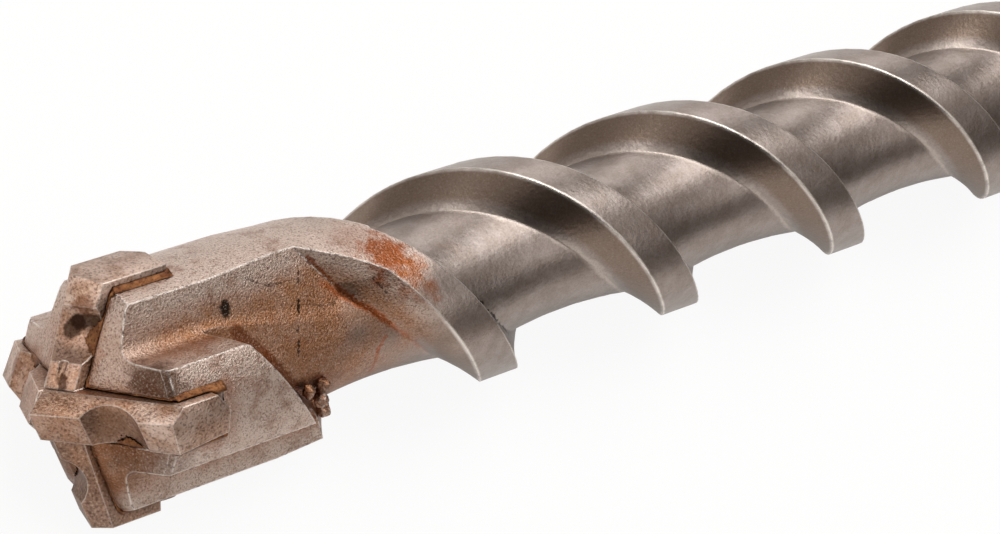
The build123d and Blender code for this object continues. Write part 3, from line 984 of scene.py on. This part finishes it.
@dataclass
class BrazeRun(CopiedNode):
    """The braze, run together by surface tension into soft fillets."""

    node: str = "braze_seam"
    name: str = "braze_fillets"
    voxel_mm: float = 0.12
    smooth_rounds: int = 7
    smooth_share: float = 0.5
    lump_mm: float = 0.04
    lump_size_mm: float = 0.8
    sink_mm: float = 0.06

    def build(self, frame: dict, finish: bpy.types.Material) -> bpy.types.Object:
        """Melt the copied braze into soft beads and dress it.

        Args:
            finish: The braze's finish.

        Returns:
            The finished piece.
        """
        piece = self.place(self.mesh(frame), "braze")
        remesh = piece.modifiers.new("melt", "REMESH")
        remesh.mode = "VOXEL"
        remesh.voxel_size = self.voxel_mm * MM
        melted = bpy.data.meshes.new_from_object(
            piece.evaluated_get(bpy.context.evaluated_depsgraph_get())
        )
        piece.modifiers.clear()
        work = bmesh.new()
        work.from_mesh(melted)
        bpy.data.meshes.remove(melted)
        for _ in range(self.smooth_rounds):
            bmesh.ops.smooth_vert(
                work, verts=work.verts, factor=self.smooth_share,
                use_axis_x=True, use_axis_y=True, use_axis_z=True,
            )
        for vert in work.verts:
            lump = noise.noise(vert.co / (self.lump_size_mm * MM))
            vert.co += vert.normal * (lump * self.lump_mm - self.sink_mm) * MM
        for face in work.faces:
            face.smooth = True
        work.to_mesh(piece.data)
        work.free()
        dress(piece, finish)
        return piece


@dataclass
class Spatter:
    """A curl of metal spatter that stuck at the back corner of a wing."""

    centre_mm: tuple[float, float, float] = (-60.6, -4.75, 7.3)
    spread_mm: tuple[float, float, float] = (3.0, 1.2, 2.8)
    grain_count: int = 10
    grain_mm: float = 0.45
    roundness: int = 4
    dent_size_mm: float = 0.4
    dent_depth_mm: float = 0.16

    def grain_place(self, index: int) -> Vector:
        """Find where a grain sits in the knot.

        Args:
            index: Number of the grain.

        Returns:
            Its centre in the row frame, in metres.
        """
        samples = (
            Vector((index * 1.7, 0.3, 0.1)),
            Vector((0.2, index * 1.3, 0.4)),
            Vector((0.5, 0.6, index * 1.9)),
        )
        shift = [noise.noise(sample) * spread for sample, spread in zip(samples, self.spread_mm)]
        return (Vector(self.centre_mm) + Vector(shift)) * MM

    def grain_radius(self, index: int) -> float:
        """Find the radius of a grain, in metres."""
        growth = 0.6 * abs(noise.noise(Vector((index * 2.1, 1.0, 2.0))))
        return self.grain_mm * (0.8 + growth) * MM

    def build(self, finish: bpy.types.Material) -> bpy.types.Object:
        """Gather a few lumpy grains into one knot of spatter and dress it.

        Args:
            finish: The finish, which is the steel's because both were blasted together.

        Returns:
            The finished piece.
        """
        work = bmesh.new()
        for index in range(self.grain_count):
            bmesh.ops.create_icosphere(
                work, subdivisions=self.roundness, radius=self.grain_radius(index),
                matrix=Matrix.Translation(self.grain_place(index)),
            )
        for vert in work.verts:
            dent = noise.fractal(vert.co / (self.dent_size_mm * MM), 0.9, 2.1, 3)
            vert.co += vert.normal * dent * self.dent_depth_mm * MM
        for face in work.faces:
            face.smooth = True
        mesh = bpy.data.meshes.new("spatter")
        work.to_mesh(mesh)
        work.free()
        piece = bpy.data.objects.new("spatter", mesh)
        bpy.context.scene.collection.objects.link(piece)
        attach(piece, "root")
        LOG.info("spatter: %d faces", len(mesh.polygons))
        dress(piece, finish)
        return piece


class Side(Enum):
    """Where a soft box stands, seen from the bit in the row frame."""

    OVERHEAD = (0.27, 0.23, 0.93)
    FRONT = (0.42, -0.56, 0.71)
    TIP_SIDE = (-0.87, 0.24, 0.43)
    FAR_RIGHT = (0.60, 0.72, 0.34)


@dataclass(frozen=True)
class SoftBox:
    """A square lamp: its side of the bit, its size, and how bright it looks where white paper is 1."""

    side: Side
    size_m: float
    radiance: float


@dataclass(frozen=True)
class Flag:
    """A dark part of the studio: its direction, its two angles and its colour."""

    direction: tuple[float, float, float]
    inner_deg: float
    outer_deg: float
    colour: str


@dataclass
class Studio:
    """Camera, soft boxes, floor and world of the product photograph."""

    camera_place_mm: tuple[float, float, float] = (-212.41, -60.14, 189.26)
    right: tuple[float, float, float] = (0.70634, -0.50054, 0.50054)
    up: tuple[float, float, float] = (0.23837, 0.83400, 0.49762)
    lens_mm: float = 141.27
    sensor_mm: float = 36.0
    clip_m: tuple[float, float] = (0.01, 50.0)
    aim_mm: tuple[float, float, float] = (-45.0, 0.0, 7.0)
    lamp_distance_m: float = 1.0
    soft_boxes: tuple[SoftBox, ...] = (
        SoftBox(Side.OVERHEAD, 0.95, 2.8),
        SoftBox(Side.FRONT, 0.5, 1.05),
        SoftBox(Side.TIP_SIDE, 0.65, 1.9),
        SoftBox(Side.FAR_RIGHT, 0.5, 1.5),
    )
    world_colour: str = "#B0AAA6"
    flags: tuple[Flag, ...] = (
        Flag((0.86, -0.46, 0.22), 10.0, 30.0, "#4A3E38"),
        Flag((-0.46, -0.74, 0.50), 19.0, 34.0, "#150C07"),
        Flag((-0.42, -0.88, 0.10), 12.0, 26.0, "#2A1C14"),
        Flag((0.70, 0.40, 0.59), 6.0, 22.0, "#403A35"),
    )
    floor_size_m: float = 6.0
    floor_colour: str = "#F4F2F0"
    # How much of the floor shines white by itself: seen directly and in the metal
    background_share: float = 0.92
    mirrored_share: float = 0.3

    def place_camera(self) -> None:
        """Place the camera where the photograph was taken from."""
        data = bpy.data.cameras.new("photo_camera")
        data.sensor_fit = "HORIZONTAL"
        data.sensor_width = self.sensor_mm
        data.lens = self.lens_mm
        data.clip_start, data.clip_end = self.clip_m
        camera = bpy.data.objects.new("photo_camera", data)
        bpy.context.scene.collection.objects.link(camera)
        right = Vector(self.right).normalized()
        up = Vector(self.up).normalized()
        turn = Matrix((right, up, right.cross(up))).transposed().to_4x4()
        camera.matrix_world = Matrix.Translation(Vector(self.camera_place_mm) * MM) @ turn
        bpy.context.scene.camera = camera

    def add_soft_box(self, box: SoftBox) -> None:
        """Add a square lamp that faces the bit.

        Args:
            box: The soft box.
        """
        name = box.side.name.lower()
        direction = Vector(box.side.value).normalized()
        data = bpy.data.lights.new(name, "AREA")
        data.shape = "SQUARE"
        data.size = box.size_m
        data.energy = box.radiance * math.pi * box.size_m * box.size_m
        lamp = bpy.data.objects.new(name, data)
        bpy.context.scene.collection.objects.link(lamp)
        lamp.location = Vector(self.aim_mm) * MM + direction * self.lamp_distance_m
        lamp.rotation_euler = direction.to_track_quat("Z", "Y").to_euler()

    def paper(self) -> bpy.types.Material:
        """Build the floor's material: matt paper that glows white where it is seen.

        Returns:
            The finished material.
        """
        # Matt white paper: no sheen, so that only the object's soft shadow shows on it
        material, graph = new_material("white_paper")
        add = graph.add
        matt = add(Kind.PAPER, linear(self.floor_colour))
        glow = add(Kind.GLOW, linear("#FFFFFF"), 1.0)
        ray = add(Kind.RAY).node.outputs
        mirrored = add(Kind.LARGER, ray["Is Glossy Ray"], ray["Is Transmission Ray"])
        mirrored = add(Kind.MULTIPLY, mirrored, self.mirrored_share)
        direct = add(Kind.MULTIPLY, ray["Is Camera Ray"], self.background_share)
        surface = add(Kind.BLEND, add(Kind.LARGER, direct, mirrored), matt, glow)
        add(Kind.SURFACE_OUTPUT, surface)
        return material

    def build_floor(self) -> None:
        """Build the pale floor, which looks white and keeps a faint shadow."""
        work = bmesh.new()
        bmesh.ops.create_grid(work, x_segments=1, y_segments=1, size=self.floor_size_m / 2)
        mesh = bpy.data.meshes.new("floor")
        work.to_mesh(mesh)
        work.free()
        floor = bpy.data.objects.new("floor", mesh)
        bpy.context.scene.collection.objects.link(floor)
        mesh.materials.append(self.paper())

    def build_world(self) -> None:
        """Fill the studio with even light, less where black flags stand."""
        world = bpy.data.worlds.new("studio")
        bpy.context.scene.world = world
        world.use_nodes = True
        graph = Graph(world.node_tree)
        direction = graph.add(Kind.WORLD_DIRECTION)
        colour = linear(self.world_colour)
        for flag in self.flags:
            agreement = graph.add(Kind.DOT, direction, tuple(Vector(flag.direction).normalized()))
            inner = math.cos(math.radians(flag.inner_deg))
            outer = math.cos(math.radians(flag.outer_deg))
            mask = graph.add(Kind.FADE, agreement, outer, inner)
            colour = graph.add(Kind.MIX, mask, colour, linear(flag.colour))
        graph.add(Kind.WORLD_OUTPUT, graph.add(Kind.BACKGROUND, colour, 1.0))

    def build(self) -> None:
        """Set up the whole studio."""
        self.place_camera()
        for box in self.soft_boxes:
            self.add_soft_box(box)
        self.build_floor()
        self.build_world()
        LOG.info("studio ready, with %d soft boxes", len(self.soft_boxes))


def main() -> None:
    """Build the looks in order and report each piece."""
    logging.basicConfig(level=logging.INFO, format="%(message)s")
    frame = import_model()
    bpy.context.scene.view_settings.view_transform = "Standard"

    steel = BlastedSteel().build()
    SteelBody().build(frame, steel)
    CarbideCross().build(frame, SinteredCarbide().build())
    BrazeRun().build(frame, OxidisedBraze().build())
    Spatter().build(steel)
    Studio().build()


if __name__ == "__main__":
    main()
